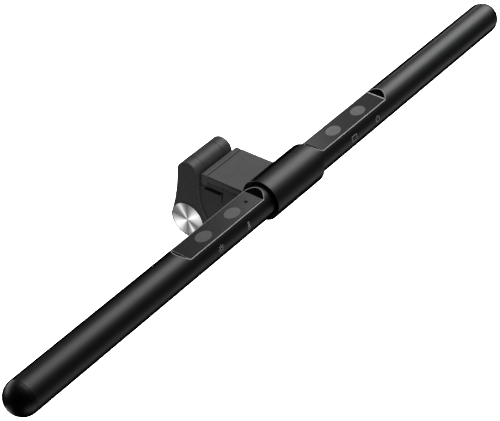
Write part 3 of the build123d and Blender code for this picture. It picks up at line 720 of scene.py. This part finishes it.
def make_lens(name):
    """The milky lens along the underside, an arc of the tube's round."""
    low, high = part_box(f"diffuser_{name}")
    half = radians(31.5)
    outer, inner = TUBE_R - LENS_SUNK, BORE_R - PLAY
    bm = bmesh.new()
    corners = [(low.x, -inner), (high.x, -inner), (high.x, -outer), (low.x, -outer)]
    face = bm.faces.new([bm.verts.new((x, 0, z)) for x, z in corners])
    start = Matrix.Rotation(-AIM - half, 3, "X")
    bmesh.ops.rotate(bm, verts=bm.verts, cent=(0, 0, 0), matrix=start)
    bmesh.ops.spin(
        bm, geom=[face], cent=(0, 0, 0), axis=X, angle=2 * half, steps=28, use_duplicate=False
    )
    bmesh.ops.remove_doubles(bm, verts=bm.verts, dist=1e-7)
    bmesh.ops.translate(bm, verts=bm.verts, vec=TUBE_AXIS)
    lens = finish_mesh(f"lens_{name}", bm, sharp=35)
    dress(lens, "lamp", "lens_white", f"diffuser_{name}")


# ------------------------------------------------------------------ symbols beside the touch fields

def ring(radius, start=0, end=360, steps=32):
    """Points of an arc, in degrees anticlockwise from the right."""
    angles = [radians(start + (end - start) * step / steps) for step in range(steps + 1)]
    return [(radius * cos(angle), radius * sin(angle)) for angle in angles]


def sun_strokes():
    rays = []
    for step in range(8):
        angle = pi / 4 * step
        rays.append([(reach * cos(angle), reach * sin(angle)) for reach in (1.15, 1.75)])
    return [ring(0.72)] + rays


def thermometer_strokes():
    bulb = [(x, y - 1.05) for x, y in ring(0.68, 120, 420)]
    top = [(x, y + 1.25) for x, y in ring(0.34, 0, 180, 12)]
    return [bulb + top + bulb[:1], [(0, -1.05), (0, 0.5)]]


def frame_strokes():
    w, h = 1.55, 1.15
    return [[(-w, -h), (w, -h), (w, h), (-w, h), (-w, -h)]]


def power_strokes():
    return [ring(1.25, 118, 422), [(0, 0.45), (0, 1.6)]]


# millimetres along the bar, degrees above the middle of the tube's front, strokes
SYMBOLS = {
    "sun": (-70.4, 12.0, sun_strokes),
    "thermometer": (-46.0, 12.5, thermometer_strokes),
    "frame": (55.75, 12.0, frame_strokes),
    "power": (79.9, 11.5, power_strokes),
}


def make_symbol(name, along, raised, strokes):
    """A printed symbol, wrapped on the tube's front a given angle above the middle."""
    line, thick = 0.2 * MM, 0.02 * MM
    unit = 1.4 * MM          # one unit of the strokes
    curve = bpy.data.curves.new(name, "CURVE")
    curve.dimensions = "3D"
    curve.bevel_depth = line
    curve.bevel_resolution = 2
    curve.use_fill_caps = True
    for stroke in strokes():
        points = [stroke[0]]
        for start, end in zip(stroke, stroke[1:]):
            pieces = max(1, round(10 * max(abs(end[0] - start[0]), abs(end[1] - start[1]))))
            for step in range(1, pieces + 1):
                points.append([a + (b - a) * step / pieces for a, b in zip(start, end)])
        spline = curve.splines.new("POLY")
        spline.points.add(len(points) - 1)
        for knot, (u, v) in zip(spline.points, points):
            knot.co = (u * unit, v * unit, 0, 1)
    loose = bpy.data.objects.new(name, curve)
    bpy.context.scene.collection.objects.link(loose)
    graph = bpy.context.evaluated_depsgraph_get()
    mesh = bpy.data.meshes.new_from_object(loose.evaluated_get(graph))
    bpy.data.objects.remove(loose)
    bm = bmesh.new()
    bm.from_mesh(mesh)
    for vert in bm.verts:
        angle = radians(raised) + vert.co.y / TUBE_R
        radius = TUBE_R + vert.co.z * thick / line
        vert.co = TUBE_AXIS + Vector(
            (along * MM + vert.co.x, -radius * cos(angle), radius * sin(angle))
        )
    symbol = finish_mesh(f"symbol_{name}", bm)
    dress(symbol, "lamp", "pad_grey", paint="print_grey")


# ------------------------------------------------------------------ clip

def make_collar():
    """The sleeve, with rounded ends and the lug that the screws hold; its end faces and bore are
    near-black painted shade, its rounded edges a lighter painted highlight.
    """
    bevel = 0.35 * MM        # the rounded edge, in two steps
    step = 0.12 * MM
    profile = [
        (-COLLAR_HALF, COLLAR_BORE_R),
        (-COLLAR_HALF, COLLAR_R - bevel),
        (-COLLAR_HALF + step, COLLAR_R - step),
        (-COLLAR_HALF + bevel, COLLAR_R),
        (COLLAR_HALF - bevel, COLLAR_R),
        (COLLAR_HALF - step, COLLAR_R - step),
        (COLLAR_HALF, COLLAR_R - bevel),
        (COLLAR_HALF, COLLAR_BORE_R),
    ]
    bm = turned(profile, 160, TUBE_AXIS)
    for face in bm.faces:
        middle = face.calc_center_median() - TUBE_AXIS
        end_face = abs(face.normal.x) > 0.9
        bore = middle.yz.length < (COLLAR_R + COLLAR_BORE_R) / 2
        # end faces and bore: near-black painted shade
        if end_face or bore:
            face.material_index = 1
        # rounded edge steps: the lighter painted highlight
        elif abs(face.normal.x) > 0.2:
            face.material_index = 2
    lug = Matrix.Translation(LUG_CENTRE) @ Matrix.Diagonal((*LUG_SIZE, 1))
    bmesh.ops.create_cube(bm, size=1, matrix=lug)
    collar = finish_mesh("collar_sleeve", bm, sharp=20)
    coat(collar, "collar_black", "painted_shade_black", "collar_edge_painted_highlight")
    dress(collar, "holder", "collar_black", "collar")


def make_disc(name, hand):
    """A turned disc with a rounded dark rim and a small centre dimple."""
    low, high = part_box(f"disc_{name}")
    inside, outside = sorted((abs(low.x), abs(high.x)))
    rim, dimple_r, dimple_depth = 0.35 * MM, 0.6 * MM, 0.15 * MM
    profile = [
        (inside, POLE),
        (inside, DISC_R),
        (outside - 0.3 * MM, DISC_R),
        (outside - 0.06 * MM, DISC_R - 0.16 * MM),
        (outside, DISC_R - rim),
        (outside, dimple_r),
        (outside - dimple_depth, POLE),
    ]
    bm = turned([(hand * x, radius) for x, radius in profile], 128, DRUM, closed=False)
    for face in bm.faces:
        if (face.calc_center_median() - DRUM).yz.length > DISC_R - rim - 0.01 * MM:
            face.material_index = 1
    disc = finish_mesh(f"spun_disc_{name}", bm, sharp=25)
    coat(disc, "spun_aluminium", "bush_black")
    return dress(disc, "arm", "spun_aluminium", f"disc_{name}")


def merged(node_name, whole=True):
    """A CAD node's mesh as a bmesh, with its flat faces made whole again if wanted."""
    bm = bmesh.new()
    bm.from_mesh(frame["nodes"][node_name].data)
    bmesh.ops.remove_doubles(bm, verts=bm.verts, dist=2e-6)
    if whole:
        bmesh.ops.dissolve_limit(
            bm, angle_limit=radians(0.5), verts=bm.verts, edges=bm.edges, delimit={"NORMAL"}
        )
    return bm


def soften(node_name, piece_name, body, width, sharp=35):
    """Replaces a CAD node by a copy whose sharp edges are slightly rounded."""
    bm = merged(node_name)
    edges = [
        edge for edge in bm.edges
        if len(edge.link_faces) == 2 and edge.calc_face_angle() > radians(sharp)
    ]
    bmesh.ops.bevel(
        bm, geom=edges, offset=width * MM, segments=2, profile=0.5, affect="EDGES",
        material=-1, clamp_overlap=True,
    )
    made = finish_mesh(piece_name, bm, sharp=40)
    even = made.modifiers.new("even_shading", "WEIGHTED_NORMAL")
    even.keep_sharp = True
    dress(made, body, slots[node_name], node_name)


# CAD node, new piece, body, width of the rounded edge in millimetres
SOFTENED = [
    ("top_plate", "plate_over_deck", "holder", 0.06),
    ("rear_cap", "cap_behind_deck", "holder", 0.10),
    ("block_housing", "deck_housing", "holder", 0.08),
    ("clip_body", "cast_body", "holder", 0.12),
    ("arm_shell", "cast_arm", "arm", 0.05),
    ("arm_jaw", "cast_jaw", "arm", 0.15),
    ("hinge_plug", "plug_of_hinge", "arm", 0.10),
]

# CAD node, new piece, body, depth of the grooves in millimetres
RIBBED = [
    ("rest_pad", "ribbed_rest_pad", "holder", 0.3),
    ("hook_pad", "ribbed_hook_pad", "holder", 0.15),
    ("jaw_pad", "ribbed_jaw_pad", "arm", 0.2),
]
GROOVES = 3
GROOVE_W = 0.5 * MM
GROOVE_END = 2 * MM          # from a groove's end to the pad's side


def ribbed_pad(node_name, piece_name, body, depth):
    """A silicone pad with shallow grooves along X in its contact face."""
    low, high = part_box(node_name)
    size = high - low
    across = 1 if size.z < size.y else 2
    bm = merged(node_name)
    edges = [edge for edge in bm.edges if edge.calc_face_angle(0) > radians(35)]
    bmesh.ops.bevel(
        bm, geom=edges, offset=0.15 * MM, segments=3, profile=0.5, affect="EDGES",
        material=-1, clamp_overlap=True,
    )
    pad = finish_mesh(piece_name, bm, sharp=50)
    cutters = []
    for step in range(GROOVES):
        middle = low[across] + size[across] * (step + 1) / (GROOVES + 1)
        start, end = low.copy(), high.copy()
        start.x += GROOVE_END
        end.x -= GROOVE_END
        start[across], end[across] = middle - GROOVE_W / 2, middle + GROOVE_W / 2
        if across == 1:
            start.z, end.z = low.z - MM, low.z + depth * MM
        elif body == "arm":
            start.y, end.y = low.y - MM, low.y + depth * MM
        else:
            start.y, end.y = high.y - depth * MM, high.y + MM
        cutters.append(finish_mesh("groove", block(start, end)))
    cut(pad, *cutters)
    pad.data.materials.clear()
    dress(pad, body, "silicone_black", node_name)


# ------------------------------------------------------------------ stage and light

def area_light(name, place, target, size, power):
    """A soft rectangular light whose long side lies as nearly along X as its aim allows."""
    data = bpy.data.lights.new(name, "AREA")
    data.shape = "RECTANGLE"
    data.size, data.size_y = size
    data.energy = power
    light = bpy.data.objects.new(name, data)
    light.visible_camera = False
    bpy.context.scene.collection.objects.link(light)
    back = (Vector(place) - Vector(target)).normalized()
    side = (X - X.dot(back) * back).normalized()
    light.matrix_world = placed(place, side, back.cross(side), back)
    return light


FLOOR_Z = -0.9
FLOOR_HALF = 6

# name, place, what it faces, length along X and width, watts
STUDIO_LIGHTS = [
    ("key", (2.3, -0.04, 1.3), (2.3, 0, 0), (3.0, 1.15), 54),
    ("key_tail", (0.45, -0.04, 1.3), (0.45, 0, 0), (0.7, 1.15), 4.5),
    ("rear_right", (2.7, 1.25, 0.5), (2.4, 0, 0), (2.2, 0.35), 3),
    ("rear", (-0.3, 1.6, 0.3), (-0.3, 0, 0), (1.6, 0.7), 7),
    ("under", (-0.5, 0.5, -0.75), (-0.5, 0, 0), (1.2, 0.3), 0.6),
    ("front_card", (0.6, -0.62, -0.52), (0.6, 0, 0), (2.4, 0.4), 1.9),
]


def light_only(light, name, pieces):
    """Lets a light reach these pieces and nothing else."""
    receivers = bpy.data.collections.new(name)
    for piece in pieces:
        receivers.objects.link(piece)
    light.light_linking.receiver_collection = receivers


def make_stage():
    """A plain pale floor, a white background and long soft lights round the bar."""
    bm = bmesh.new()
    bmesh.ops.create_grid(bm, x_segments=1, y_segments=1, size=FLOOR_HALF)
    bmesh.ops.translate(bm, verts=bm.verts, vec=(0, 0, FLOOR_Z))
    floor = finish_mesh("floor", bm)
    paint = Paint("floor_pale", base_color=grey(0.97), roughness=0.9, specular_ior_level=0.1)
    floor.data.materials.append(paint.material)
    floor.visible_glossy = False
    floor.visible_diffuse = False
    world = bpy.data.worlds.new("studio")
    bpy.context.scene.world = world
    world.use_nodes = True
    tree = world.node_tree
    tree.nodes.clear()
    background = tree.nodes.new("ShaderNodeBackground")
    rays = tree.nodes.new("ShaderNodeLightPath")
    output = tree.nodes.new("ShaderNodeOutputWorld")
    background.inputs["Color"].default_value = (1, 1, 1, 1)
    tree.links.new(rays.outputs["Is Camera Ray"], background.inputs["Strength"])
    tree.links.new(background.outputs[0], output.inputs[0])
    above = area_light("floor_light", (0, 0, 2.5), (0, 0, 0), (6, 6), 900)
    light_only(above, "pale_floor", [floor])
    for row in STUDIO_LIGHTS:
        area_light(*row)
    bpy.context.scene.view_settings.view_transform = "Standard"


def light_discs(discs):
    """A broad card behind and below each end of the drum that only the bright discs catch."""
    for hand in (-1, 1):
        place = DRUM + Vector((hand * 0.776, 0.56, -0.72))
        card = area_light("disc_card", place, DRUM, (1.1, 1.1), 5)
        light_only(card, "discs", discs)


def light_panels():
    """A small light above the right panel whose glow only the touch panels show."""
    names = ("left", "right")
    pieces = [bpy.data.objects[f"panel_{name}"] for name in names]
    pieces += [frame["nodes"][f"touch_pads_{name}"] for name in names]
    glow = area_light("panel_glow", (0.091, 0.028, 0.104), TUBE_AXIS, (0.03, 0.03), 0.056)
    light_only(glow, "panel_pieces", pieces)


def light_clip():
    """Soft light from the user's left that only the clip's castings and covers catch."""
    fill = area_light("clip_fill", (-0.9, -0.7, 0.15), (0, 0, 0), (0.9, 0.9), 7)
    light_only(fill, "clip_pieces", [bpy.data.objects[row[1]] for row in SOFTENED])


# ------------------------------------------------------------------ the whole scene

PAINTS = make_paints()

# each CAD node takes the finish of its slot
slots = {part["node"]: part["material_slot"] for part in frame["record"]["subparts"]}
for node_name, node in frame["nodes"].items():
    node.data.materials.clear()
    coat(node, slots[node_name])

make_camera()
make_stage()
make_tube()
discs = []
for side_name, hand_sign in (("left", -1), ("right", 1)):
    make_cap(side_name, hand_sign)
    make_lens(side_name)
    make_panel(side_name, hand_sign)
    discs.append(make_disc(side_name, hand_sign))
light_discs(discs)
for symbol_name, (along, raised, strokes) in SYMBOLS.items():
    make_symbol(symbol_name, along, raised, strokes)
make_collar()
for row in SOFTENED:
    soften(*row)
for row in RIBBED:
    ribbed_pad(*row)
light_clip()
light_panels()
